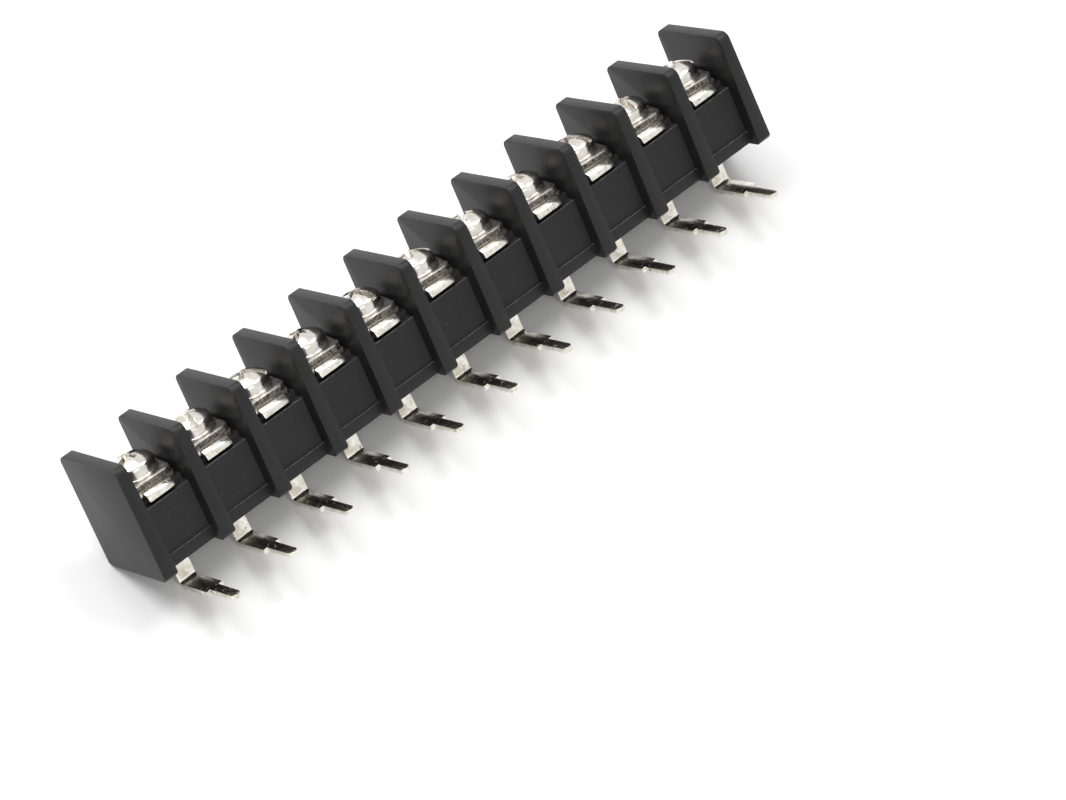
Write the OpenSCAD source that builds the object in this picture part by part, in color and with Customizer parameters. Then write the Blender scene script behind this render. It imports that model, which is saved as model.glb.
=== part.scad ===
// Barrier terminal strip for a circuit board, with one bent solder pin per pole.
// X runs along the row and +Z is the screw side. The board stands at Y = 0, in front,
// and the pins pass through it towards -Y. The origin is the middle of the pin row
// at the board's surface, on the pins' mid-plane.

/* [Row] */
// Number of poles in the row
poles = 11; // [1:1:14]
// Distance from one pole to the next, in mm
pitch = 9.5; // [8.5:0.1:12]

/* [Barriers] */
// Height of a barrier, from its foot to its top edge
barrier_h = 16.4; // [15:0.1:22]
// Depth of a barrier, from the board edge to the back edge
barrier_d = 13.4; // [12.5:0.1:18]
// Thickness of a barrier at its top edge
barrier_top_t = 1.7; // [1.2:0.05:2]
// Thickness of a barrier at its foot, which the draft makes thicker
barrier_foot_t = 2.1; // [1.4:0.05:2.3]
// Radius of the barrier's two upper corners
barrier_corner_r = 1.1; // [0.2:0.1:2]
// Chamfer of the barrier's two lower corners
barrier_chamfer = 0.45; // [0.1:0.05:1]

/* [Body] */
// Height of the body's underside above the barrier feet
foot_gap = 0.4; // [0.1:0.05:1]
// Height of the top land that carries the contact plates, above the barrier feet
land_h = 9.65; // [8.5:0.05:11]
// Set-back of the body's front face behind the board edge of the barriers
front_setback = 2.1; // [1.2:0.1:3]
// Set-back of the body's rear face from the back edge of the barriers
rear_setback = 1.7; // [0.8:0.1:2]
// Height of the base rim, above the barrier feet
rim_h = 2.1; // [1:0.1:3]
// How far the base rim stands out from the front and rear faces
rim_out = 0.5; // [0.1:0.1:0.8]
// How far the front notch reaches in behind the lip's bend
notch_clear = 0.05; // [0:0.05:0.3]
// Drop of the notch floor below the top land
notch_drop = 0.95; // [0.6:0.05:1.4]

/* [Slots and pocket] */
// Length of a base slot along the row
slot_l = 4.6; // [4.4:0.1:5.2]
// Clearance all round a contact leg in its slot
slot_gap = 0.05; // [0.02:0.01:0.12]
// Distance of the pin slot behind the board
pin_slot_y = 6.95; // [5.5:0.05:7.4]
// Distance of the spare rear slot behind the board
rear_slot_y = 10.9; // [10.6:0.05:11]
// Height of the pocket floor above the barrier feet
pocket_floor_h = 3.8; // [3:0.1:4.4]
// Front end of the pocket, measured behind the board
pocket_front_y = 3.9; // [3.7:0.1:4.1]

/* [Contact] */
// Thickness of the contact sheet
sheet_t = 0.7; // [0.5:0.05:0.8]
// Inside radius of the bends
bend_r = 0.5; // [0.3:0.05:0.6]
// Width of the contact plate under the clamp
plate_w = 6.8; // [5.8:0.1:7]
// Width of the turned-down front lip
lip_w = 4.1; // [3.8:0.1:5]
// How far the front lip reaches down over the top land
lip_drop = 0.35; // [0.1:0.05:0.6]
// Radius of the plate's front corners
plate_corner_r = 0.6; // [0.2:0.1:1]
// Width of the rear leg inside the housing
leg_w = 4.2; // [3.4:0.1:4.3]
// Height of the jog under the screw above the pocket floor
jog_gap = 0.45; // [0.4:0.05:0.6]

/* [Pin] */
// Drop of the pins' mid-plane below the barrier feet
pin_drop = 4.85; // [3.5:0.05:8]
// Reach of the pin tip past the board surface
pin_reach = 4.8; // [3:0.1:8]
// Width of the pin where it leaves the housing
pin_w = 2.65; // [2:0.05:3.2]
// Width of the narrow blade that goes through the board
blade_w = 1.4; // [1:0.05:1.8]
// Length of the narrow blade
blade_l = 5.3; // [3:0.1:6]
// Radius of the raised dot on the back of the leg
dot_r = 0.6; // [0.3:0.05:0.9]
// Height of the raised dot
dot_h = 0.15; // [0.05:0.05:0.3]
// Drop of the dot's centre below the body's underside
dot_drop = 1.9; // [1.2:0.1:2.6]

/* [Screw and clamp] */
// Distance of the screw axis behind the board
screw_y = 7; // [6.7:0.05:7.2]
// Nominal radius of the screw thread
thread_r = 1.75; // [1.5:0.05:1.9]
// Radial running clearance of the screw in its hole
thread_gap = 0.05; // [0.02:0.01:0.09]
// Length of the screw below its head
screw_l = 6; // [5:0.1:6.4]
// Radius of the screw head
head_r = 2.95; // [2.6:0.05:3.2]
// Height of the screw head
head_h = 2.4; // [2:0.1:2.6]
// Height of the straight side of the screw head
head_side_h = 1.3; // [0.8:0.05:1.5]
// Width of the straight slot across the head
slot_w = 0.9; // [0.6:0.05:1.2]
// Depth of the straight slot
slot_depth = 1.3; // [0.8:0.05:1.5]
// Span of the cross recess
cross_l = 3.6; // [2.8:0.1:4.2]
// Depth of the cross recess
cross_depth = 1.7; // [1.3:0.05:1.9]
// Radius of the washer under the head
washer_r = 3.1; // [3:0.05:3.4]
// Thickness of the washer
washer_t = 0.35; // [0.2:0.05:0.6]
// Width of the clamp plate along the row
clamp_w = 6.9; // [6:0.1:7]
// Depth of the clamp plate, front to back
clamp_d = 7.2; // [6.6:0.1:7.6]
// Radius of the round blank that cuts the clamp plate's corners
clamp_blank_r = 4.4; // [4:0.05:4.5]
// Thickness of the clamp plate
clamp_t = 1; // [0.8:0.05:1.2]

/* [Hidden] */
$fn = 64;
joint_eps = 0.01;             // overlap that fuses touching shapes of one piece
row_l = poles * pitch;
z_foot = pin_drop;            // barrier feet, above the pins' mid-plane
z_floor = z_foot + foot_gap;  // underside of the body
z_land = z_foot + land_h;
z_top = z_foot + barrier_h;
y_front = front_setback;
y_rear = barrier_d - rear_setback;
z_plate = z_land + sheet_t;   // top face of the contact plate
z_clamp = z_plate + clamp_t;  // top face of the clamp plate at rest
z_head = z_clamp + washer_t;  // underside of the screw head at rest
slot_t = sheet_t + 2 * slot_gap;
bend_out_r = bend_r + sheet_t;
lip_y = y_front + slot_gap;   // front face of the lip
plate_front_y = lip_y + bend_out_r;
plate_rear_y = rear_slot_y + sheet_t / 2 - bend_out_r;
y_notch = plate_front_y + notch_clear;
jog_z = z_foot + pocket_floor_h + jog_gap + sheet_t / 2;
leg_y = pin_slot_y;
// Slot direction of each screw as it happens to stop, in degrees
screw_turns = [20, 75, 140, 35, 110, 160, 60, 5, 125, 85, 150, 45, 100, 15];

// How far each clamp plate has turned with its screw, in degrees
clamp_turns = [-3, -4, -3, -5, -5, -6, -4, -5, -6, -5, -6, -4, -5, -3];

function pole_x(n) = (n - (poles + 1) / 2) * pitch;
function wall_x(k) = (k - poles / 2) * pitch;

// Extrudes a Y-Z outline along X, centred on the row
module along_row(width) {
    rotate([90, 0, 90]) linear_extrude(height = width, center = true) children();
}

// Quarter of a bent sheet about (y, z), in the quadrant that the two signs name
module bend(y, z, side_y, side_z) {
    translate([y, z]) intersection() {
        difference() {
            circle(r = bend_out_r);
            circle(r = bend_r);
        }
        low_y = side_y > 0 ? 0 : -bend_out_r;
        low_z = side_z > 0 ? 0 : -bend_out_r;
        translate([low_y, low_z]) square(bend_out_r);
    }
}

module barrier_outline() {
    r = barrier_corner_r;
    c = barrier_chamfer;
    difference() {
        union() {
            translate([0, z_foot]) square([barrier_d, barrier_h - r]);
            translate([r, z_foot]) square([barrier_d - 2 * r, barrier_h]);
            for (y = [r, barrier_d - r]) translate([y, z_top - r]) circle(r = r);
        }
        polygon([[-c, z_foot - c], [2 * c, z_foot - c], [c, z_foot], [0, z_foot + c], [-c, z_foot + 2 * c]]);
        polygon([[barrier_d + c, z_foot - c], [barrier_d - 2 * c, z_foot - c], [barrier_d - c, z_foot],
                 [barrier_d, z_foot + c], [barrier_d + c, z_foot + 2 * c]]);
    }
}

// One barrier: the side outline, thinned towards its top by the draft
module barrier(x) {
    translate([x, 0, 0]) intersection() {
        along_row(2 * barrier_foot_t) barrier_outline();
        translate([0, barrier_d / 2, 0]) rotate([90, 0, 0])
            linear_extrude(height = barrier_d + 2, center = true)
                polygon([[-barrier_foot_t / 2, z_foot], [barrier_foot_t / 2, z_foot],
                         [barrier_top_t / 2, z_top], [-barrier_top_t / 2, z_top]]);
    }
}

module body_outline() {
    z_rim = z_foot + rim_h;
    polygon([
        [y_front - rim_out, z_floor], [y_rear + rim_out, z_floor],
        [y_rear + rim_out, z_rim], [y_rear, z_rim],
        [y_rear, z_land], [y_notch, z_land],
        [y_notch, z_land - notch_drop], [y_front, z_land - notch_drop],
        [y_front, z_rim], [y_front - rim_out, z_rim]
    ]);
}

// Room for one contact: a pocket under the plate, and two slots through the floor
module contact_room(x) {
    z_pocket = z_foot + pocket_floor_h;
    pocket_rear_y = rear_slot_y + slot_t / 2;
    translate([x, 0, 0]) {
        translate([-slot_l / 2, pocket_front_y, z_pocket])
            cube([slot_l, pocket_rear_y - pocket_front_y, z_land - z_pocket + 1]);
        for (y = [pin_slot_y, rear_slot_y])
            translate([-slot_l / 2, y - slot_t / 2, z_floor - 1])
                cube([slot_l, slot_t, z_pocket - z_floor + 1 + joint_eps]);
    }
}

module housing() {
    color([0.09, 0.09, 0.1]) difference() {
        union() {
            along_row(row_l) body_outline();
            for (k = [0 : poles]) barrier(wall_x(k));
        }
        for (n = [1 : poles]) contact_room(pole_x(n));
    }
}

// Front lip with its bend, up to the start of the flat plate
module lip_outline() {
    translate([lip_y, z_land - lip_drop])
        square([sheet_t, lip_drop + sheet_t - bend_out_r + joint_eps]);
    bend(plate_front_y, z_plate - bend_out_r, -1, 1);
    translate([plate_front_y - joint_eps, z_land]) square([sheet_t, sheet_t]);
}

// Rear bend and leg, down to the jog under the screw
module rear_leg_outline() {
    y_leg = rear_slot_y - sheet_t / 2;
    z_low = jog_z - sheet_t / 2 + bend_out_r;
    translate([plate_rear_y - sheet_t, z_land]) square([sheet_t + joint_eps, sheet_t]);
    bend(plate_rear_y, z_plate - bend_out_r, 1, 1);
    translate([y_leg, z_low - joint_eps])
        square([sheet_t, z_plate - bend_out_r - z_low + 2 * joint_eps]);
    bend(plate_rear_y, z_low, 1, -1);
}

// Jog, pin leg and the bend that turns the pin towards the board
module pin_outline() {
    y_in = leg_y - sheet_t / 2;
    y_jog = leg_y + sheet_t / 2 + bend_r;
    y_bend = leg_y + sheet_t / 2 - bend_out_r;
    z_jog = jog_z + sheet_t / 2 - bend_out_r;
    z_bend = -sheet_t / 2 + bend_out_r;
    translate([y_jog - joint_eps, jog_z - sheet_t / 2])
        square([plate_rear_y - y_jog + 2 * joint_eps, sheet_t]);
    bend(y_jog, z_jog, -1, 1);
    translate([y_in, z_bend - joint_eps]) square([sheet_t, z_jog - z_bend + 2 * joint_eps]);
    bend(y_bend, z_bend, 1, -1);
}

// Flat part of the pin, seen from above, with its shoulders and round tip
module blade_plan() {
    y_bend = leg_y + sheet_t / 2 - bend_out_r;
    y_shoulder = -pin_reach + blade_l;
    tip_r = blade_w / 2;
    translate([-pin_w / 2, y_shoulder]) square([pin_w, y_bend - y_shoulder + joint_eps]);
    translate([-blade_w / 2, -pin_reach + tip_r])
        square([blade_w, blade_l - tip_r + joint_eps]);
    translate([0, -pin_reach + tip_r]) circle(r = tip_r);
}

// Flat plate under the clamp, seen from above, with its front corners rounded
module plate_plan() {
    r = plate_corner_r;
    y_near = plate_front_y;
    translate([-plate_w / 2, y_near + r]) square([plate_w, plate_rear_y - sheet_t / 2 - y_near - r]);
    translate([-plate_w / 2 + r, y_near]) square([plate_w - 2 * r, 2 * r]);
    for (x = [-1, 1]) translate([x * (plate_w / 2 - r), y_near + r]) circle(r = r);
}

module terminal(n) {
    color([0.78, 0.77, 0.73]) translate([pole_x(n), 0, 0]) difference() {
        union() {
            along_row(lip_w) lip_outline();
            translate([0, 0, z_land]) linear_extrude(height = sheet_t) plate_plan();
            along_row(leg_w) rear_leg_outline();
            along_row(pin_w) pin_outline();
            translate([0, leg_y + sheet_t / 2 + dot_h, z_floor - dot_drop])
                rotate([90, 0, 0]) cylinder(r = dot_r, h = dot_h + joint_eps);
            translate([0, 0, -sheet_t / 2]) linear_extrude(height = sheet_t) blade_plan();
        }
        translate([0, screw_y, z_land - 1]) cylinder(r = thread_r, h = sheet_t + 2);
    }
}

module clamp(n) {
    color([0.7, 0.69, 0.66]) translate([pole_x(n), screw_y, z_plate]) difference() {
        rotate([0, 0, clamp_turns[n - 1]]) linear_extrude(height = clamp_t) intersection() {
            square([clamp_w, clamp_d], center = true);
            circle(r = clamp_blank_r);
        }
        translate([0, 0, -1]) cylinder(r = thread_r + 2 * thread_gap, h = clamp_t + 2);
    }
}

module washer(n) {
    color([0.82, 0.81, 0.78]) translate([pole_x(n), screw_y, z_clamp]) difference() {
        cylinder(r = washer_r, h = washer_t);
        translate([0, 0, -1]) cylinder(r = thread_r + 2 * thread_gap, h = washer_t + 2);
    }
}

// Half section of the head: a straight side under a dome that meets the flat top
module head_section() {
    dome_h = head_h - head_side_h;
    dome_r = (pow(head_r, 2) + pow(dome_h, 2)) / (2 * dome_h);
    square([head_r, head_side_h]);
    intersection() {
        translate([0, head_side_h - joint_eps]) square([head_r, dome_h + joint_eps]);
        translate([0, head_h - dome_r]) circle(r = dome_r);
    }
}

module screw(n) {
    turn = screw_turns[n - 1];
    shank_r = thread_r - thread_gap;
    tip_c = shank_r / 3;
    color([0.85, 0.84, 0.82]) translate([pole_x(n), screw_y, z_head]) rotate([0, 0, turn]) {
        difference() {
            union() {
                rotate_extrude() head_section();
                translate([0, 0, tip_c - screw_l])
                    cylinder(r = shank_r, h = screw_l - tip_c + joint_eps);
                translate([0, 0, -screw_l])
                    cylinder(r1 = shank_r - tip_c, r2 = shank_r, h = tip_c + joint_eps);
            }
            translate([-head_r - 1, -slot_w / 2, head_h - slot_depth])
                cube([2 * head_r + 2, slot_w, slot_depth + 1]);
            for (a = [0, 90]) rotate([0, 0, a])
                translate([-cross_l / 2, -slot_w / 2, head_h - cross_depth])
                    cube([cross_l, slot_w, cross_depth + 1]);
        }
    }
}

housing();
for (n = [1 : poles]) {
    terminal(n);
    clamp(n);
    washer(n);
    screw(n);
}
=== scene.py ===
# %% [markdown]
# # A barrier terminal strip
# The real object is a row of eleven screw terminals in one black moulding. Tall walls part the
# poles. In each bay a bent contact lies on a land, a clamp plate and a washer lie on the contact,
# and a combination-slot screw presses them together. The contact comes out under the body as a
# leg that turns towards the circuit board and ends in a narrow blade.
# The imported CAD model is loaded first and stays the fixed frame: every position comes from it.

# %% Load the fixed frame
import math
import bmesh
import bpy
from mathutils import Matrix, Vector


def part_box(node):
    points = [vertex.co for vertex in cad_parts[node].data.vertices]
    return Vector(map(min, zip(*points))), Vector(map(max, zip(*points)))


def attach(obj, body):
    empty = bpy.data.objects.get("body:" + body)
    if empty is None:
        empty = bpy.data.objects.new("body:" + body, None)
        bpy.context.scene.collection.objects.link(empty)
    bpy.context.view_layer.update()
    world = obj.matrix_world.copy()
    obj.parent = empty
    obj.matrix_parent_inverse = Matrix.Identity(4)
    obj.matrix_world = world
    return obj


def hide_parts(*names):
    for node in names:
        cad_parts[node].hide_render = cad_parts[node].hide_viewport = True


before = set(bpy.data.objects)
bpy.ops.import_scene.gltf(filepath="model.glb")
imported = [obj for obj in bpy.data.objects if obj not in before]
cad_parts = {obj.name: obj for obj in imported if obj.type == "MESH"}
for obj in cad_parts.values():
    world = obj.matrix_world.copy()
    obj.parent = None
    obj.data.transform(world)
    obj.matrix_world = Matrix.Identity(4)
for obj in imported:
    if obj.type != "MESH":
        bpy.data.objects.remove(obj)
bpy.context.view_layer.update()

MM = 0.001
scene = bpy.context.scene
POLES = sorted(int(name.split("_")[1]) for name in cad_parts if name.startswith("screw_"))


# %% [markdown]
# ## Expressions for node trees
# A shader and a Geometry Nodes tree both need a lot of arithmetic. A long chain of Math nodes is
# hard to read, so a small class wraps a socket and overloads Python's operators. An expression
# such as `1 - mask * 0.3` then adds its Math nodes by itself. Every other node comes from one
# method, which takes the node's type, its settings, and the values or links of its sockets.

# %% A socket that understands arithmetic
class Value:
    """One output socket of a tree, with arithmetic that adds Math nodes."""

    def __init__(self, tree, socket):
        self.tree, self.socket = tree, socket

    def math(self, operation, *others, clamp=False):
        settings = {"operation": operation, "use_clamp": clamp}
        return self.tree.node("ShaderNodeMath", settings, dict(enumerate((self,) + others)))

    def swapped(self, operation, first):
        return self.tree.node("ShaderNodeMath", {"operation": operation}, {0: first, 1: self})

    def __add__(self, other): return self.math("ADD", other)
    def __sub__(self, other): return self.math("SUBTRACT", other)
    def __mul__(self, other): return self.math("MULTIPLY", other)
    def __truediv__(self, other): return self.math("DIVIDE", other)
    def __neg__(self): return self.math("MULTIPLY", -1.0)
    def __gt__(self, other): return self.math("GREATER_THAN", other)
    def __lt__(self, other): return self.math("LESS_THAN", other)
    def __radd__(self, other): return self.swapped("ADD", other)
    def __rsub__(self, other): return self.swapped("SUBTRACT", other)

    def between(self, low, high):
        """0 below low, 1 above high, and a straight ramp between them."""
        return self.tree.node("ShaderNodeMapRange", {"clamp": True},
                              {0: self, 1: low, 2: high, 3: 0.0, 4: 1.0})

    def out(self, name):
        return Value(self.tree, self.socket.node.outputs[name])


# %% One method that makes every node
class Tree:
    """Builds nodes in a shader or a Geometry Nodes tree."""

    def __init__(self, node_tree):
        self.nodes, self.links = node_tree.nodes, node_tree.links

    def node(self, kind, settings=None, inputs=None, output=0):
        made = self.nodes.new(kind)
        for name, value in (settings or {}).items():
            setattr(made, name, value)
        for name, value in (inputs or {}).items():
            if isinstance(value, Value):
                self.links.new(value.socket, made.inputs[name])
            else:
                made.inputs[name].default_value = value
        return Value(self, made.outputs[output]) if len(made.outputs) else None

    def gather(self, made, socket, sources):
        """Links several values into one socket that takes more than one."""
        for source in sources:
            self.links.new(source.socket, made.socket.node.inputs[socket])
        return made


# %% [markdown]
# ## Running a Geometry Nodes tree
# Screws, washers and clamp plates repeat, so each is described once by a tree with named inputs
# for its sizes. One object per body runs the tree with its own place and turn, and the evaluated
# result is kept as a plain mesh. The modifier's inputs are set by socket identifier before the
# object is evaluated for the first time.

# %% Helpers that start a tree and run it
CORNER_ANGLE = math.radians(35)     # a sharper angle than this is an edge, a flatter one is smooth
BEVEL_STEPS = 2
MERGE = 0.001 * MM                  # points nearer than this are one point


def start_tree(name, sizes):
    """A new Geometry Nodes tree, its wrapper and a dictionary of its named inputs."""
    group = bpy.data.node_groups.new(name, "GeometryNodeTree")
    group.interface.new_socket("Geometry", in_out="INPUT", socket_type="NodeSocketGeometry")
    for label, kind in sizes.items():
        group.interface.new_socket(label, in_out="INPUT", socket_type="NodeSocket" + kind)
    group.interface.new_socket("Geometry", in_out="OUTPUT", socket_type="NodeSocketGeometry")
    tree = Tree(group)
    first = tree.node("NodeGroupInput")
    return group, tree, {label: first.out(label) for label in ["Geometry", *sizes]}


def end_tree(tree, geometry, material):
    """Real geometry and the finish, as the last nodes of every tree."""
    real = tree.node("GeometryNodeRealizeInstances", None, {0: geometry})
    finished = tree.node("GeometryNodeSetMaterial", None, {"Geometry": real, "Material": material})
    tree.node("NodeGroupOutput", None, {0: finished})


def run_tree(name, group, sizes, start=None, bevel=0.0):
    """Runs the tree on a mesh, rounds the edges if asked, and returns a plain mesh object."""
    carrier = bpy.data.objects.new(name, start or bpy.data.meshes.new(name))
    scene.collection.objects.link(carrier)
    modifier = carrier.modifiers.new("tree", "NODES")
    modifier.node_group = group
    sockets = [item for item in group.interface.items_tree if item.in_out == "INPUT"]
    names = {item.name: item.identifier for item in sockets}
    for label, value in sizes.items():
        modifier[names[label]] = value
    if bevel:
        rounding = carrier.modifiers.new("rounding", "BEVEL")
        rounding.width, rounding.segments = bevel, BEVEL_STEPS
        rounding.limit_method, rounding.angle_limit = "ANGLE", CORNER_ANGLE
    graph = bpy.context.evaluated_depsgraph_get()
    mesh = bpy.data.meshes.new_from_object(carrier.evaluated_get(graph), depsgraph=graph)
    carrier.modifiers.clear()
    carrier.data = mesh
    mesh.name = name
    mesh.shade_smooth()
    mesh.set_sharp_from_angle(angle=CORNER_ANGLE)
    return carrier


# %% [markdown]
# ## Camera
# The camera comes before the pieces, so that the final framing is set from the start. A
# long lens from about 0.6 metres away keeps the row's lines almost parallel. The three directions
# are the camera's right, up and backward axes, in the strip's own frame.

# %% Place the camera
RIGHT = Vector((0.7192447, -0.5893077, -0.3679721))
UP = Vector((0.5388815, 0.1389053, 0.8308502))
BACK = Vector((-0.4385132, -0.7958780, 0.4174739))
CAMERA_PLACE = Vector((-268.852, -495.469, 254.653)) * MM
SENSOR_MM, LENS_MM = 36.0, 162.909

camera = bpy.data.objects.new("camera", bpy.data.cameras.new("camera"))
camera.data.sensor_width, camera.data.lens = SENSOR_MM, LENS_MM
camera.data.clip_start, camera.data.clip_end = 0.01, 20.0
place = Matrix((RIGHT, UP, BACK)).transposed().to_4x4()
place.translation = CAMERA_PLACE
camera.matrix_world = place
scene.collection.objects.link(camera)
scene.camera = camera
print("camera distance in mm:", round(CAMERA_PLACE.length / MM))

# %% [markdown]
# ## Black moulded plastic
# The housing is glass-filled nylon or a similar black moulding compound. It isn't pure black: the
# mould leaves a satin skin with faint flow clouds, a very fine grain, a few pale dust specks and
# some hairline scratches. Noise at several scales makes these, and all of them read Object
# coordinates, so the pattern keeps its real size on every face. The upward corners of the body get
# a finish of their own, whose pale base colour is a painted highlight of the light from above.

# %% Shared parts of the finishes
def new_finish(name):
    """A new material, its tree and the Object coordinates that its patterns read."""
    material = bpy.data.materials.new(name)
    material.use_nodes = True
    material.node_tree.nodes.clear()
    tree = Tree(material.node_tree)
    return material, tree, tree.node("ShaderNodeTexCoord").out("Object")


def end_finish(tree, sockets):
    """One Principled shader with these sockets set or linked, and the output."""
    shader = tree.node("ShaderNodeBsdfPrincipled", None, sockets)
    tree.node("ShaderNodeOutputMaterial", None, {0: shader})


def noise(tree, where, scale, detail=2.0, stretch=None):
    """Noise at a real size: scale is in features per metre. Stretch draws it out along an axis."""
    if stretch:
        where = tree.node("ShaderNodeMapping", None, {"Vector": where, "Scale": stretch})
    return tree.node("ShaderNodeTexNoise", None,
                     {"Vector": where, "Scale": scale, "Detail": detail})


def tint(tree, factor, low, high):
    """A colour that goes from low to high as the factor goes from 0 to 1."""
    return tree.node("ShaderNodeMix", {"data_type": "RGBA"}, {0: factor, 6: low, 7: high},
                     output=2)


def bump(tree, height, distance, strength):
    """A normal from a height. Distance is the relief in metres where the height goes up by 1."""
    return tree.node("ShaderNodeBump", None,
                     {"Height": height, "Distance": distance, "Strength": strength})


# %% The housing's finish
def make_black_plastic():
    material, tree, where = new_finish("black_moulded_plastic")
    clouds = noise(tree, where, 180, 3)
    grain = noise(tree, where, 9000, 2)
    dust = noise(tree, where, 3600, 0).between(0.84, 0.87)
    scratch_zone = noise(tree, where, 420, 1).between(0.60, 0.68)
    hairs = noise(tree, where, 1500, 1, stretch=(0.25, 1.0, 3.0)).between(0.70, 0.73)
    scuffs = hairs * scratch_zone
    base = tint(tree, clouds.between(0.35, 0.65),
                (0.0085, 0.0085, 0.0095, 1), (0.0125, 0.0125, 0.0135, 1))
    dusty = tint(tree, dust * 0.16 + scuffs * 0.14, base, (0.30, 0.30, 0.30, 1))
    rough = 0.40 + clouds * 0.10 + scuffs * 0.2 + dust * 0.2
    relief = grain * 0.7 + clouds * 2.0 - scuffs * 1.0
    end_finish(tree, {"Base Color": dusty, "Roughness": rough, "IOR": 1.40,
                      "Normal": bump(tree, relief, 0.000008, 0.5)})
    return material


def make_highlight_edge():
    """A pale base colour that paints the highlight on upward rounds, a little smoother than the
    faces.
    """
    material, tree, where = new_finish("painted_highlight_edge")
    highlight_streaks = noise(tree, where, 1300, 3)
    # The pale tint is a painted highlight, not a colour of the plastic.
    base = tint(tree, highlight_streaks.between(0.35, 0.75), (0.07, 0.07, 0.07, 1), (0.30, 0.30, 0.295, 1))
    end_finish(tree, {"Base Color": base, "Roughness": 0.3 + highlight_streaks * 0.16, "IOR": 1.5,
                      "Normal": bump(tree, noise(tree, where, 5000, 2), 0.000006, 0.4)})
    return material


BLACK_PLASTIC, HIGHLIGHT_EDGE_FINISH = make_black_plastic(), make_highlight_edge()
print("finishes:", BLACK_PLASTIC.name, HIGHLIGHT_EDGE_FINISH.name)

# %% [markdown]
# ## Tin-plated contact
# The contacts are stamped from brass strip and tin plated. Tin is bright and a little warm, with
# a soft mottled grain, dark pits where it was handled, and drawn lines left by the press. Metal
# has no base colour of its own besides its reflection, so the mottling works on the tint and on
# the roughness together.

# %% The contacts' finish
def make_tin_plate():
    material, tree, where = new_finish("bright_tin_plate")
    mottle = noise(tree, where, 900, 4)
    fine = noise(tree, where, 5200, 3)
    pits = noise(tree, where, 1900, 2).between(0.66, 0.72)
    drawn = noise(tree, where, 1400, 2, stretch=(1.0, 6.0, 6.0))
    shade = tint(tree, mottle.between(0.3, 0.7), (0.62, 0.585, 0.50, 1), (0.90, 0.88, 0.81, 1))
    pitted = tint(tree, pits * 0.7, shade, (0.16, 0.14, 0.11, 1))
    rough = 0.13 + fine * 0.10 + pits * 0.35
    relief = mottle * 1.6 + fine * 0.25 + drawn * 0.5 - pits * 1.5
    end_finish(tree, {"Base Color": pitted, "Metallic": 1.0, "Roughness": rough,
                      "Normal": bump(tree, relief, 0.000022, 0.6)})
    return material


TIN_PLATE = make_tin_plate()
print("finish:", TIN_PLATE.name)

# %% [markdown]
# ## Sheared steel and nickel
# The clamp plate is punched from thick steel strip. Its faces are plated, but the punched rim
# shows a torn, streaky grey band. The object-space normal tells the rim from the faces: it points
# sideways on the rim. The screw and washer are nickel plated and polished by tumbling, so they
# only have a faint cloudiness and small dents.

# %% The clamp plates' finish
def make_clamp_steel():
    material, tree, where = new_finish("plated_clamp_steel")
    facing = tree.node("ShaderNodeTexCoord").out("Normal")
    upright = tree.node("ShaderNodeSeparateXYZ", None, {0: facing}).out("Z").math("ABSOLUTE")
    rim = 1 - upright.between(0.15, 0.45)
    torn = noise(tree, where, 3200, 4, stretch=(1.0, 1.0, 0.7))
    mottle = noise(tree, where, 1100, 3)
    bright = tint(tree, mottle.between(0.35, 0.7), (0.50, 0.48, 0.44, 1), (0.78, 0.76, 0.72, 1))
    grey = tint(tree, torn.between(0.36, 0.64), (0.045, 0.040, 0.036, 1), (0.30, 0.275, 0.25, 1))
    rough = 0.24 + mottle * 0.1 + rim * (0.26 + torn * 0.2)
    relief = mottle * 1.5 + rim * torn * 6.0
    end_finish(tree, {"Base Color": tint(tree, rim, bright, grey), "Metallic": 1.0,
                      "Roughness": rough, "Normal": bump(tree, relief, 0.00002, 0.7)})
    return material


def make_nickel():
    material, tree, where = new_finish("tumbled_nickel")
    clouds = noise(tree, where, 700, 3)
    dents = noise(tree, where, 2400, 2)
    shade = tint(tree, clouds.between(0.3, 0.7), (0.62, 0.59, 0.54, 1), (0.82, 0.79, 0.74, 1))
    end_finish(tree, {"Base Color": shade, "Metallic": 1.0, "Roughness": 0.13 + clouds * 0.12,
                      "Normal": bump(tree, clouds * 3.0 + dents, 0.00002, 0.5)})
    return material


CLAMP_STEEL, NICKEL = make_clamp_steel(), make_nickel()
print("finishes:", CLAMP_STEEL.name, NICKEL.name)

# %% [markdown]
# ## Housing
# The housing is one injection moulding: a low body with a base rim, a notch for the contacts'
# lips, two slots through each bay's floor, and twelve drafted walls. The CAD node has all of its
# forms but perfectly sharp edges. A real mould leaves small radii, and they matter most for the
# look, because each one catches a thin line of light. So a copy of the node's mesh is merged,
# its flat faces are rejoined, and every sharp edge gets a small round. The rounds that run along
# the row, look up and stand proud below the bays get a pale finish that paints their highlight.

# %% Round the housing's edges
EDGE_ROUND = 0.14 * MM
NODE_MERGE = 0.002 * MM             # the node's loose triangles join into one skin
FLAT_ANGLE = math.radians(1.0)      # triangles that meet flatter than this are one face
SHARP_ANGLE = math.radians(20)      # edges sharper than this get a round
FACES_UP, RUNS_ALONG = 0.25, 0.2    # limits on a round's normal, for the rounds with a painted highlight
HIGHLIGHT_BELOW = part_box("screw_1")[1].z - 5.0 * MM    # the walls' tops get no painted highlight
PLAIN, HIGHLIGHT_SLOT = 0, 1                # the housing's two material slots; the second paints a highlight


def stands_proud(face):
    """True on an outer corner's round: the faces across its long edges fall away from it."""
    centre = face.calc_center_median()
    along = [e for e in face.edges if abs((e.verts[0].co - e.verts[1].co).normalized().x) > 0.9]
    beside = [vert.co for edge in along for near in edge.link_faces for vert in near.verts]
    return all((place - centre).dot(face.normal) < 0.001 * MM for place in beside)


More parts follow.
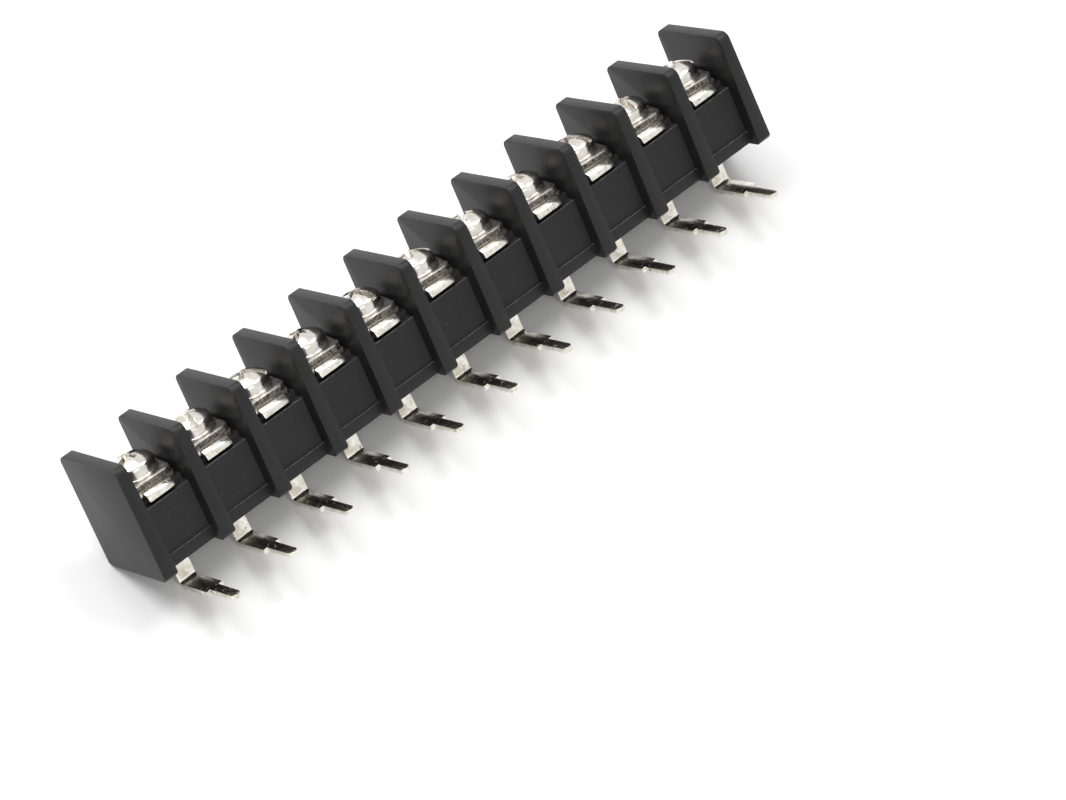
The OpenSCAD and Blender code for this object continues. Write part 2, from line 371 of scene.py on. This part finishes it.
def round_edges(work, angle, width):
    """Rounds each edge of a bmesh that is sharper than the angle, and returns the new faces."""
    inner = [e for e in work.edges if len(e.link_faces) == 2]
    sharp = [e for e in inner if e.calc_face_angle(0) > angle]
    return bmesh.ops.bevel(work, geom=sharp, offset=width, offset_type="OFFSET",
                           segments=BEVEL_STEPS, profile=0.5, affect="EDGES",
                           clamp_overlap=True)["faces"]


def rounded_copy(node, name, width):
    """A copy of a CAD node's mesh with merged faces and rounded edges."""
    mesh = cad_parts[node].data.copy()
    mesh.name = name
    mesh.materials.clear()
    work = bmesh.new()
    work.from_mesh(mesh)
    bmesh.ops.remove_doubles(work, verts=work.verts, dist=NODE_MERGE)
    bmesh.ops.dissolve_limit(work, angle_limit=FLAT_ANGLE, verts=work.verts, edges=work.edges)
    rounds = round_edges(work, SHARP_ANGLE, width)
    for face in work.faces:
        face.material_index = PLAIN
    for face in rounds:
        face.normal_update()
        nx, ny, nz = face.normal
        # Upward rounds that stand proud get the pale finish, a painted highlight of light from
        # above.
        looks_up = nz > FACES_UP and abs(ny) > FACES_UP and abs(nx) < RUNS_ALONG
        if looks_up and face.calc_center_median().z < HIGHLIGHT_BELOW and stands_proud(face):
            face.material_index = HIGHLIGHT_SLOT
    work.to_mesh(mesh)
    work.free()
    made = bpy.data.objects.new(name, mesh)
    scene.collection.objects.link(made)
    mesh.shade_smooth()
    mesh.set_sharp_from_angle(angle=CORNER_ANGLE)
    return made


housing = rounded_copy("housing", "moulded_housing", EDGE_ROUND)
housing.data.materials.append(BLACK_PLASTIC)
housing.data.materials.append(HIGHLIGHT_EDGE_FINISH)
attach(housing, "housing")
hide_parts("housing")
print("housing faces:", len(housing.data.polygons))

# %% [markdown]
# ## Contacts
# A contact is a flat blank, 0.7 mm thick, punched and then bent five times. The same order works
# here: the blank's outline is drawn flat and extruded, its screw hole is cut, its rims are
# rounded, and a Geometry Nodes tree then bends it along a path whose corners are filleted. On the
# blank, Y is the distance along the path, X the width, and Z the distance from mid-thickness. The
# path runs at mid-thickness too, from the lip over the land, down behind the screw, forward under
# it, down through the middle slot and out to the blade's tip.

# %% Measures of the contact
SHEET = 0.7 * MM
BEND = 0.5 * MM + SHEET / 2         # the bends' radius at mid-thickness
contact_low, contact_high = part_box("terminal_1")
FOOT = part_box("housing")[0].z
PLATE_Z = contact_high.z - SHEET / 2
REAR_Y = contact_high.y - SHEET / 2
JOG_Z = FOOT + 4.6 * MM
LIP_Y, LEG_Y = 2.5 * MM, 6.95 * MM
LIP_STRAIGHT = 0.01 * MM            # the lip ends just after its bend
PATH = [(LIP_Y, PLATE_Z - BEND - LIP_STRAIGHT), (LIP_Y, PLATE_Z), (REAR_Y, PLATE_Z),
        (REAR_Y, JOG_Z), (LEG_Y, JOG_Z), (LEG_Y, 0.0), (contact_low.y, 0.0)]
print("contact path in mm:", [(round(y / MM, 2), round(z / MM, 2)) for y, z in PATH])


def bend_spans():
    """Where each bend starts and ends along the filleted path, and the path's length."""
    spans, along = [], 0.0
    for k in range(1, len(PATH) - 1):
        step = (Vector(PATH[k]) - Vector(PATH[k - 1])).length
        along += step - BEND * (2 if k > 1 else 1)
        spans.append((along, along + BEND * math.pi / 2))
        along = spans[-1][1]
    return spans, along + (Vector(PATH[-1]) - Vector(PATH[-2])).length - BEND


SPANS, BLANK_LENGTH = bend_spans()
print("developed length in mm:", round(BLANK_LENGTH / MM, 2))

# %% [markdown]
# The blank's outline is listed for one side and mirrored. Its widths follow the real part: a
# narrow lip, a wide plate with rounded front corners, a leg, and the pin with its shoulder and
# round tip.

# %% Draw the blank's outline
LIP_W, LEG_W, PIN_W, BLADE_W = 4.1 * MM, 4.2 * MM, 2.65 * MM, 1.4 * MM
PLATE_W = contact_high.x - contact_low.x
CORNER, BLADE_L = 0.6 * MM, 5.3 * MM
TIP_STOP = 84                       # the tip's arc ends before the middle, so no points coincide


def arc(x, y, radius, start, stop, steps=6):
    """Points on an arc round (x, y), between two angles in degrees."""
    turns = [math.radians(start + (stop - start) * i / steps) for i in range(steps + 1)]
    return [(x + radius * math.cos(t), y + radius * math.sin(t)) for t in turns]


def blank_outline():
    plate_start, plate_stop = SPANS[0][1], SPANS[1][0] - SHEET / 2
    shoulder = BLANK_LENGTH - BLADE_L
    side = [(LIP_W / 2, 0.0), (LIP_W / 2, plate_start)]
    side += arc(PLATE_W / 2 - CORNER, plate_start + CORNER, CORNER, -90, 0)
    side += [(PLATE_W / 2, plate_stop), (LEG_W / 2, plate_stop), (LEG_W / 2, SPANS[2][1]),
             (PIN_W / 2, SPANS[2][1]), (PIN_W / 2, shoulder), (BLADE_W / 2, shoulder)]
    side += arc(0.0, BLANK_LENGTH - BLADE_W / 2, BLADE_W / 2, 0, TIP_STOP)
    return side + [(-x, y) for x, y in reversed(side)]


print("outline points:", len(blank_outline()))

# %% Punch, round and score the flat blank
screw_low, screw_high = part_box("screw_1")
SCREW_Y = screw_low.y + (screw_high.y - screw_low.y) / 2
HOLE_R, HOLE_STEPS = 1.75 * MM, 32
RIM_ANGLE, RIM_ROUND = math.radians(40), 0.09 * MM
CUTS_PER_BEND = 8


def cut_hole(blank, y):
    """Cuts the screw hole through the blank with a Boolean modifier that is applied at once."""
    tool_mesh = bpy.data.meshes.new("punch")
    work = bmesh.new()
    bmesh.ops.create_cone(work, cap_ends=True, segments=HOLE_STEPS, radius1=HOLE_R,
                          radius2=HOLE_R, depth=4 * SHEET, matrix=Matrix.Translation((0, y, 0)))
    work.to_mesh(tool_mesh)
    work.free()
    tool = bpy.data.objects.new("punch", tool_mesh)
    scene.collection.objects.link(tool)
    cutter = blank.modifiers.new("cut", "BOOLEAN")
    cutter.object, cutter.operation, cutter.solver = tool, "DIFFERENCE", "EXACT"
    graph = bpy.context.evaluated_depsgraph_get()
    mesh = bpy.data.meshes.new_from_object(blank.evaluated_get(graph), depsgraph=graph)
    blank.modifiers.clear()
    blank.data = mesh
    bpy.data.objects.remove(tool)


def punched_blank():
    """The flat blank as a closed slab with rounded rims and cross cuts where it bends."""
    work = bmesh.new()
    corners = [work.verts.new((x, y, -SHEET / 2)) for x, y in blank_outline()]
    face = work.faces.new(corners)
    grown = bmesh.ops.extrude_face_region(work, geom=[face])["geom"]
    lifted = [v for v in grown if isinstance(v, bmesh.types.BMVert)]
    bmesh.ops.translate(work, verts=lifted, vec=(0, 0, SHEET))
    bmesh.ops.recalc_face_normals(work, faces=work.faces)
    mesh = bpy.data.meshes.new("blank")
    work.to_mesh(mesh)
    work.free()
    blank = bpy.data.objects.new("blank", mesh)
    scene.collection.objects.link(blank)
    cut_hole(blank, SPANS[0][1] + SCREW_Y - (LIP_Y + BEND))
    work = bmesh.new()
    work.from_mesh(blank.data)
    round_edges(work, RIM_ANGLE, RIM_ROUND)
    for start, stop in SPANS:
        for i in range(CUTS_PER_BEND + 1):
            y = start + (stop - start) * i / CUTS_PER_BEND
            bmesh.ops.bisect_plane(work, geom=work.verts[:] + work.edges[:] + work.faces[:],
                                   dist=1e-7, plane_co=(0, y, 0), plane_no=(0, 1, 0))
    work.to_mesh(blank.data)
    work.free()
    mesh = blank.data
    bpy.data.objects.remove(blank)
    return mesh


BLANK = punched_blank()
print("blank faces:", len(BLANK.polygons))

# %% [markdown]
# Each leg also carries a small raised dot, pressed into its back, that stops the contact from
# sliding out of its slot. It is a flattened ball that sits half in the blank, so the bending tree
# moves it along with the sheet.

# %% Add the raised dot
DOT_R, DOT_H = 0.6 * MM, 0.15 * MM
DOT_SUNK = 0.05 * MM                # how far the dot's middle lies under the sheet's face
DOT_Z = FOOT + 0.4 * MM - 1.9 * MM  # below the body's underside, which is 0.4 mm over the feet


def add_dot(mesh):
    """Adds the dot to the blank, at the distance along the path where the leg is at DOT_Z."""
    dot_y = SPANS[3][1] + (JOG_Z - BEND) - DOT_Z
    work = bmesh.new()
    work.from_mesh(mesh)
    flatten = Matrix.Diagonal((1, 1, (DOT_H + DOT_SUNK) / DOT_R, 1))
    shape = Matrix.Translation((0, dot_y, SHEET / 2 - DOT_SUNK)) @ flatten
    bmesh.ops.create_icosphere(work, subdivisions=3, radius=DOT_R, matrix=shape)
    work.to_mesh(mesh)
    work.free()


add_dot(BLANK)
print("blank with dot:", len(BLANK.polygons), "faces")

# %% The tree that bends the blank and repeats it along the row
FILLET_STEPS = 15


def chain(points):
    return [(i, i + 1) for i in range(len(points) - 1)]


def path_object():
    """The contact's path as a chain of edges, which the tree turns into a filleted curve."""
    mesh = bpy.data.meshes.new("contact_path")
    mesh.from_pydata([(0, y, z) for y, z in PATH], chain(PATH), [])
    made = bpy.data.objects.new("contact_path", mesh)
    scene.collection.objects.link(made)
    return made


def vector_maths(tree, operation, inputs):
    return tree.node("ShaderNodeVectorMath", {"operation": operation}, inputs)


def make_contact_tree():
    group, tree, given = start_tree("bent_contacts", {
        "Path": "Object", "Bend radius": "Float", "Poles": "Int", "Pitch": "Float",
        "First pole": "Float"})
    route = tree.node("GeometryNodeObjectInfo", None, {"Object": given["Path"]}).out("Geometry")
    route = tree.node("GeometryNodeMeshToCurve", None, {0: route})
    route = tree.node("GeometryNodeFilletCurve", {"mode": "POLY"},
                      {"Curve": route, "Radius": given["Bend radius"], "Count": FILLET_STEPS})
    flat = tree.node("GeometryNodeInputPosition")
    axes = tree.node("ShaderNodeSeparateXYZ", None, {0: flat})
    across, along, lift = axes.out("X"), axes.out("Y"), axes.out("Z")
    spot = tree.node("GeometryNodeSampleCurve", {"mode": "LENGTH"},
                     {"Curves": route, "Length": along})
    sideways = tree.node("ShaderNodeCombineXYZ", None, {0: 1.0})
    outward = vector_maths(tree, "CROSS_PRODUCT", {0: sideways, 1: spot.out("Tangent")})
    risen = vector_maths(tree, "SCALE", {0: outward, "Scale": lift})
    width = tree.node("ShaderNodeCombineXYZ", None, {0: across})
    place = vector_maths(tree, "ADD", {0: spot.out("Position"), 1: risen})
    place = vector_maths(tree, "ADD", {0: place, 1: width})
    bent = tree.node("GeometryNodeSetPosition", None,
                     {"Geometry": given["Geometry"], "Position": place})
    start = tree.node("ShaderNodeCombineXYZ", None, {0: given["First pole"]})
    step = tree.node("ShaderNodeCombineXYZ", None, {0: given["Pitch"]})
    row = tree.node("GeometryNodeMeshLine", None,
                    {"Count": given["Poles"], "Start Location": start, "Offset": step})
    each = tree.node("GeometryNodeInstanceOnPoints", None, {"Points": row, "Instance": bent})
    end_tree(tree, each, TIN_PLATE)
    return group


# %% Bend the contacts
def middle_x(node):
    near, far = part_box(node)
    return (near.x + far.x) / 2


FIRST_X = middle_x("terminal_1")
PITCH = middle_x("terminal_2") - FIRST_X
path = path_object()
contacts = run_tree("contacts", make_contact_tree(), {
    "Path": path, "Bend radius": BEND, "Poles": len(POLES), "Pitch": PITCH,
    "First pole": FIRST_X}, start=BLANK)
bpy.data.objects.remove(path)
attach(contacts, "housing")
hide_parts(*[f"terminal_{n}" for n in POLES])
print("contacts:", len(contacts.data.polygons), "faces, pitch", round(PITCH / MM, 2), "mm")

# %% [markdown]
# ## Clamp plates
# A clamp plate is a square punched from a round blank, so its corners are arcs. The rule is short:
# take a circle and clamp its points to the square's half sizes. A second circle is the hole. The
# filled face is extruded, and a bevel gives it the rolled rim that a punch leaves. Each plate has
# turned a few degrees with its screw, so the turn is an input.

# %% The tree for a clamp plate
RIM_STEPS, CLAMP_HOLE_STEPS = 120, 48


def make_clamp_tree():
    group, tree, given = start_tree("clamp_plate", {
        "Width": "Float", "Depth": "Float", "Blank radius": "Float", "Thickness": "Float",
        "Hole radius": "Float", "Place": "Vector", "Turn": "Float"})
    ring = tree.node("GeometryNodeCurvePrimitiveCircle", None,
                     {"Resolution": RIM_STEPS, "Radius": given["Blank radius"]})
    axes = tree.node("ShaderNodeSeparateXYZ", None, {0: tree.node("GeometryNodeInputPosition")})
    half_w, half_d = given["Width"] / 2, given["Depth"] / 2
    x = axes.out("X").math("MINIMUM", half_w).math("MAXIMUM", -half_w)
    y = axes.out("Y").math("MINIMUM", half_d).math("MAXIMUM", -half_d)
    spot = tree.node("ShaderNodeCombineXYZ", None, {0: x, 1: y})
    outline = tree.node("GeometryNodeSetPosition", None, {"Geometry": ring, "Position": spot})
    hole = tree.node("GeometryNodeCurvePrimitiveCircle", None,
                     {"Resolution": CLAMP_HOLE_STEPS, "Radius": given["Hole radius"]})
    both = tree.gather(tree.node("GeometryNodeJoinGeometry"), 0, (outline, hole))
    sheet = tree.node("GeometryNodeFillCurve", {"mode": "NGONS"}, {0: both})
    upward = tree.node("ShaderNodeCombineXYZ", None, {2: 1.0})
    grown = tree.node("GeometryNodeExtrudeMesh", {"mode": "FACES"}, {
        "Mesh": sheet, "Offset": upward, "Offset Scale": given["Thickness"], "Individual": False})
    under = tree.node("GeometryNodeFlipFaces", None, {0: sheet})
    closed = tree.gather(tree.node("GeometryNodeJoinGeometry"), 0, (grown, under))
    closed = tree.node("GeometryNodeMergeByDistance", None, {"Geometry": closed, "Distance": MERGE})
    turn = tree.node("ShaderNodeCombineXYZ", None, {2: given["Turn"]})
    placed = tree.node("GeometryNodeTransform", None, {
        "Geometry": closed, "Translation": given["Place"], "Rotation": turn})
    end_tree(tree, placed, CLAMP_STEEL)
    return group


clamp_tree = make_clamp_tree()
print("clamp plate tree:", len(clamp_tree.nodes), "nodes")

# %% Make a clamp plate for each body
CLAMP_W, CLAMP_D, CLAMP_BLANK_R = 6.9 * MM, 7.2 * MM, 4.4 * MM
CLEAR_HOLE_R = 1.85 * MM            # the plates' and washers' holes, clear of the thread
CLAMP_ROUND = 0.14 * MM
CLAMP_TURNS = [-3, -4, -3, -5, -5, -6, -4, -5, -6, -5, -6]      # degrees, the same as the solids'
for n in POLES:
    low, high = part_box(f"clamp_{n}")
    clamp = run_tree(f"clamp_plate_{n}", clamp_tree, {
        "Width": CLAMP_W, "Depth": CLAMP_D, "Blank radius": CLAMP_BLANK_R,
        "Thickness": high.z - low.z, "Hole radius": CLEAR_HOLE_R,
        "Place": ((low.x + high.x) / 2, SCREW_Y, low.z),
        "Turn": math.radians(CLAMP_TURNS[n - 1])}, bevel=CLAMP_ROUND)
    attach(clamp, f"clamp_{n}")
    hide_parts(f"clamp_{n}")
print("clamp plate faces:", len(clamp.data.polygons))

# %% [markdown]
# ## Washers and screws
# Both are turned parts. One tree turns a profile round the screw's axis: a grid is rolled up, its
# rows take their radius and height from the profile's points, and merging closes the seam and the
# poles. The screw adds a thread, whose rule is that the radius depends on height and angle
# together, and a head cut by a straight slot and a tapered cross recess.

# %% A nested tree that turns a profile
def make_lathe_tree():
    """Input: a chain of points. X is each point's radius and Z its height."""
    group, tree, given = start_tree("lathe", {"Profile points": "Int", "Steps round": "Int"})
    rows, steps = given["Profile points"], given["Steps round"] + 1
    sheet = tree.node("GeometryNodeMeshGrid", None, {
        "Size X": 1.0, "Size Y": 1.0, "Vertices X": rows, "Vertices Y": steps})
    axes = tree.node("ShaderNodeSeparateXYZ", None, {0: tree.node("GeometryNodeInputPosition")})
    row = ((axes.out("X") + 0.5) * (rows - 1)).math("ROUND")
    angle = (axes.out("Y") + 0.5) * (2 * math.pi)
    point = tree.node("GeometryNodeSampleIndex", {"data_type": "FLOAT_VECTOR"}, {
        "Geometry": given["Geometry"], "Value": tree.node("GeometryNodeInputPosition"),
        "Index": row})
    profile = tree.node("ShaderNodeSeparateXYZ", None, {0: point})
    radius, height = profile.out("X"), profile.out("Z")
    spot = tree.node("ShaderNodeCombineXYZ", None, {
        0: radius * angle.math("COSINE"), 1: radius * angle.math("SINE"), 2: height})
    rolled = tree.node("GeometryNodeSetPosition", None, {"Geometry": sheet, "Position": spot})
    closed = tree.node("GeometryNodeMergeByDistance", None, {"Geometry": rolled, "Distance": MERGE})
    tree.node("NodeGroupOutput", None, {0: closed})
    return group


LATHE = make_lathe_tree()
print("lathe tree:", len(LATHE.nodes), "nodes")


def turned(tree, given, steps):
    """The lathe tree as one node, fed with the profile of the tree that calls it."""
    return tree.node("GeometryNodeGroup", {"node_tree": LATHE}, {
        "Geometry": given["Geometry"], "Profile points": given["Profile points"],
        "Steps round": steps})


def profile_mesh(name, points):
    """A chain of (radius, height) points, from the top's centre to the bottom's centre."""
    mesh = bpy.data.meshes.new(name)
    mesh.from_pydata([(r, 0, z) for r, z in points], chain(points), [])
    return mesh


# %% The tree and profile for a washer
WASHER_STEPS = 96
WASHER_ROUND = 0.42                 # the edges' radius, as a share of the thickness


def make_washer_tree():
    group, tree, given = start_tree("washer", {"Profile points": "Int", "Place": "Vector"})
    ring = turned(tree, given, WASHER_STEPS)
    placed = tree.node("GeometryNodeTransform", None,
                       {"Geometry": ring, "Translation": given["Place"]})
    end_tree(tree, placed, NICKEL)
    return group


def washer_profile(inner, outer, thick):
    """A closed, rounded cross section, listed from the inner top edge round to itself."""
    r = thick * WASHER_ROUND
    corners = [(outer - r, thick - r, 90, 0), (outer - r, r, 0, -90),
               (inner + r, r, -90, -180), (inner + r, thick - r, -180, -270)]
    points = [p for x, z, a, b in corners for p in arc(x, z, r, a, b, 4)]
    return points + points[:1]


washer_tree = make_washer_tree()
for n in POLES:
    low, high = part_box(f"washer_{n}")
    outline = washer_profile(CLEAR_HOLE_R, (high.x - low.x) / 2, high.z - low.z)
    washer = run_tree(f"washer_ring_{n}", washer_tree, {
        "Profile points": len(outline), "Place": ((low.x + high.x) / 2, SCREW_Y, low.z)},
        start=profile_mesh("washer_profile", outline))
    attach(washer, f"clamp_{n}")
    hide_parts(f"washer_{n}")
print("washer faces:", len(washer.data.polygons))

# %% [markdown]
# The recess is cut by three bars: a straight one for the slot, and two that taper for the cross.
# A bar's middle lies at the head's top, so its lower half does the cutting. The shank is another
# rolled grid. Its first and last rows shrink to the axis and close it, and between them a wave of
# height less turn gives the helix.

# %% Cutters for the recess, and the threaded shank
WING_TAPER, FLANK_TAPER = 0.4, 0.35     # how much shorter and narrower a wing is at its bottom
SLOT_REACH = 2.4                        # the slot's bar, in head radii, goes past the rim
WING_FIT = 0.98                         # keeps the second wing's sides off the slot's
THREAD_STEPS = 40
CREST, ROOT = 0.12, 0.9                 # the shares of the wave that are flat
TIP_SHARE = 0.66                        # the tip's radius, as a share of the shank's
SHANK_SUNK = 0.02 * MM                  # the shank starts inside the head


def tapered_wing(tree, span, width, depth, top, taper, turn):
    """A cutter for one bar of the recess, narrower at its bottom if it tapers."""
    size = tree.node("ShaderNodeCombineXYZ", None, {0: span, 1: width, 2: depth * 2})
    bar = tree.node("GeometryNodeMeshCube", None, {"Size": size})
    axes = tree.node("ShaderNodeSeparateXYZ", None, {0: tree.node("GeometryNodeInputPosition")})
    deep = axes.out("Z") < 0
    shorter = 1 - deep * taper
    narrower = 1 - deep * (FLANK_TAPER if taper else 0.0)
    spot = tree.node("ShaderNodeCombineXYZ", None, {
        0: axes.out("X") * shorter, 1: axes.out("Y") * narrower, 2: axes.out("Z") + top})
    cut = tree.node("GeometryNodeSetPosition", None, {"Geometry": bar, "Position": spot})
    return tree.node("GeometryNodeTransform", None, {"Geometry": cut, "Rotation": (0, 0, turn)})


def make_thread(tree, given):
    """A closed shank whose radius follows the helix, with a chamfered tip."""
    rows = given["Thread rows"]
    sheet = tree.node("GeometryNodeMeshGrid", None, {
        "Size X": 1.0, "Size Y": 1.0, "Vertices X": rows, "Vertices Y": THREAD_STEPS + 1})
    axes = tree.node("ShaderNodeSeparateXYZ", None, {0: tree.node("GeometryNodeInputPosition")})
    row = ((axes.out("X") + 0.5) * (rows - 1)).math("ROUND")
    turn = axes.out("Y") + 0.5
    share = ((row - 1) / (rows - 3)).math("ADD", 0.0, clamp=True)
    height = share * -1 * given["Shank length"]
    wave = (height / given["Thread pitch"] - turn).math("PINGPONG", 0.5) * 2
    radius = given["Shank radius"] - given["Thread depth"] * wave.between(CREST, ROOT)
    to_tip = height + given["Shank length"] + given["Shank radius"] * TIP_SHARE
    radius = radius.math("MINIMUM", to_tip)
    inside = (row > 0.5) * (row < rows - 1.5)
    angle = turn * (2 * math.pi)
    spot = tree.node("ShaderNodeCombineXYZ", None, {
        0: radius * inside * angle.math("COSINE"), 1: radius * inside * angle.math("SINE"),
        2: height + SHANK_SUNK})
    rolled = tree.node("GeometryNodeSetPosition", None, {"Geometry": sheet, "Position": spot})
    return tree.node("GeometryNodeMergeByDistance", None, {"Geometry": rolled, "Distance": MERGE})


# %% The tree for a screw
HEAD_STEPS = 72


def make_screw_tree():
    group, tree, given = start_tree("combination_screw", {
        "Profile points": "Int", "Head radius": "Float", "Head height": "Float",
        "Slot width": "Float", "Slot depth": "Float", "Cross span": "Float",
        "Cross depth": "Float", "Shank radius": "Float", "Shank length": "Float",
        "Thread pitch": "Float", "Thread depth": "Float", "Thread rows": "Int",
        "Place": "Vector", "Turn": "Float"})
    head = turned(tree, given, HEAD_STEPS)
    top, width = given["Head height"], given["Slot width"]
    span, depth = given["Cross span"], given["Cross depth"]
    slot = tapered_wing(tree, given["Head radius"] * SLOT_REACH, width, given["Slot depth"], top,
                        0.0, 0.0)
    wing = tapered_wing(tree, span, width, depth, top, WING_TAPER, math.pi / 2)
    deep = tapered_wing(tree, span, width * WING_FIT, depth, top, WING_TAPER, 0.0)
    cut = tree.node("GeometryNodeMeshBoolean", {"operation": "DIFFERENCE", "solver": "EXACT"},
                    {0: head})
    cut = tree.gather(cut, 1, (slot, wing, deep))
    both = tree.gather(tree.node("GeometryNodeJoinGeometry"), 0, (cut, make_thread(tree, given)))
    turn = tree.node("ShaderNodeCombineXYZ", None, {2: given["Turn"]})
    placed = tree.node("GeometryNodeTransform", None, {
        "Geometry": both, "Translation": given["Place"], "Rotation": turn})
    end_tree(tree, placed, NICKEL)
    return group


screw_tree = make_screw_tree()
print("screw tree:", len(screw_tree.nodes), "nodes")

# %% The head's profile
HEAD_H, HEAD_SIDE, HEAD_ROUND = 2.4 * MM, 1.3 * MM, 0.75 * MM
UNDER_ROUND = 0.1 * MM
HEAD_R = (screw_high.x - screw_low.x) / 2
HEAD_Z = screw_high.z - HEAD_H


def head_profile(radius, side, height):
    """From the crown's centre over the dome, down the side and back under the head."""
    rise = height - side
    dome = (radius ** 2 + rise ** 2) / (2 * rise)
    base = height - dome
    round_z = base + math.sqrt((dome - HEAD_ROUND) ** 2 - (radius - HEAD_ROUND) ** 2)
    meet = math.degrees(math.atan2(round_z - base, radius - HEAD_ROUND))
    crown = arc(0.0, base, dome, 90, meet, 10)
    shoulder = arc(radius - HEAD_ROUND, round_z, HEAD_ROUND, meet, 0, 8)[1:]
    under = arc(radius - UNDER_ROUND, UNDER_ROUND, UNDER_ROUND, 0, -90, 3)
    return crown + shoulder + under + [(0.0, 0.0)]


outline = head_profile(HEAD_R, HEAD_SIDE, HEAD_H)
print("head profile points:", len(outline))

# %% Make a screw for each body
RECESS_ROUND = 0.06 * MM
SCREW_TURNS = [20, 75, 140, 35, 110, 160, 60, 5, 125, 85, 150]      # degrees
SCREW_SIZES = {
    "Profile points": len(outline), "Head radius": HEAD_R, "Head height": HEAD_H,
    "Slot width": 0.9 * MM, "Slot depth": 1.3 * MM, "Cross span": 3.6 * MM,
    "Cross depth": 1.7 * MM, "Shank radius": 1.7 * MM, "Shank length": HEAD_Z - screw_low.z,
    "Thread pitch": 0.6 * MM, "Thread depth": 0.3 * MM, "Thread rows": 93}
for n in POLES:
    screw = run_tree(f"combination_screw_{n}", screw_tree, {
        **SCREW_SIZES, "Place": (middle_x(f"screw_{n}"), SCREW_Y, HEAD_Z),
        "Turn": math.radians(SCREW_TURNS[n - 1])},
        start=profile_mesh("head_profile", outline), bevel=RECESS_ROUND)
    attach(screw, f"screw_{n}")
    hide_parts(f"screw_{n}")
print("screw faces:", len(screw.data.polygons))

# %% [markdown]
# ## Floor and light
# The strip lies tilted: it rests on the bends of its pins and on the back corners of its walls, so
# the floor is a plane turned about the row. Soft light comes from a large lamp above on the left,
# a smaller one overhead and a weak one in front. The floor and the world are brighter where the
# camera, a reflection or a transmitted ray sees them, which keeps them white around the soft
# shadow. The floor's back side lets the camera through, so that a view from behind isn't blocked.

# %% The tilted floor
FLOOR_UP = Vector((0.003, -0.585, 0.811)).normalized()
FLOOR_HALF = 2.0                    # metres
touch = min(v.co.dot(FLOOR_UP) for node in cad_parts.values() for v in node.data.vertices)


def seen_by(rays):
    """1 for the camera's own rays and for those that a mirror or a clear body sends on."""
    direct = rays.out("Is Camera Ray").math("MAXIMUM", rays.out("Is Glossy Ray"))
    return direct.math("MAXIMUM", rays.out("Is Transmission Ray"))


def make_floor():
    material, tree = new_finish("pale_floor")[:2]
    rays = tree.node("ShaderNodeLightPath")
    seen = seen_by(rays)
    colour = tint(tree, seen, (0.80, 0.80, 0.81, 1), (1.06, 1.06, 1.06, 1))
    matte = tree.node("ShaderNodeBsdfDiffuse", None, {"Color": colour})
    clear = tree.node("ShaderNodeBsdfTransparent")
    behind = tree.node("ShaderNodeNewGeometry").out("Backfacing") * rays.out("Is Camera Ray")
    both = tree.node("ShaderNodeMixShader", None, {0: behind, 1: matte, 2: clear})
    tree.node("ShaderNodeOutputMaterial", None, {0: both})
    mesh = bpy.data.meshes.new("floor")
    corners = [(-1, -1), (1, -1), (1, 1), (-1, 1)]
    mesh.from_pydata([(x * FLOOR_HALF, y * FLOOR_HALF, 0) for x, y in corners], [], [(0, 1, 2, 3)])
    turn = FLOOR_UP.to_track_quat("Z", "Y").to_matrix().to_4x4()
    mesh.transform(Matrix.Translation(FLOOR_UP * touch) @ turn)
    mesh.materials.append(material)
    made = bpy.data.objects.new("floor", mesh)
    scene.collection.objects.link(made)


make_floor()
print("floor touches at", round(touch / MM, 2), "mm along", tuple(round(c, 3) for c in FLOOR_UP))

# %% Lamps and world
LAMP_AIM = Vector((0, 5, 10)) * MM
WORLD_LIGHT, WORLD_SEEN = 0.42, 1.0


def add_lamp(name, toward, distance, size, energy):
    """A square lamp that looks at the strip. Toward is right, up and back, as the camera has it."""
    direction = (RIGHT * toward[0] + UP * toward[1] + BACK * toward[2]).normalized()
    lamp = bpy.data.lights.new(name, "AREA")
    lamp.size, lamp.energy = size, energy
    made = bpy.data.objects.new(name, lamp)
    turn = direction.to_track_quat("Z", "Y").to_matrix().to_4x4()
    made.matrix_world = Matrix.Translation(direction * distance + LAMP_AIM) @ turn
    scene.collection.objects.link(made)


add_lamp("left_softbox", (-0.55, 0.75, 0.48), 0.7, 0.5, 3.4)
add_lamp("overhead_strip", (0.25, 0.85, 0.48), 0.7, 0.3, 1.6)
add_lamp("front_fill", (0.2, -0.1, 1.0), 0.9, 0.5, 0.8)

world = bpy.data.worlds.new("studio")
scene.world = world
world.use_nodes = True
world.node_tree.nodes.clear()
sky = Tree(world.node_tree)
strength = sky.node("ShaderNodeMix", {"data_type": "FLOAT"}, {
    0: seen_by(sky.node("ShaderNodeLightPath")), 2: WORLD_LIGHT, 3: WORLD_SEEN})
glow = sky.node("ShaderNodeBackground", None, {"Color": (1, 1, 1, 1), "Strength": strength})
sky.node("ShaderNodeOutputWorld", None, {0: glow})
scene.view_settings.view_transform = "Standard"
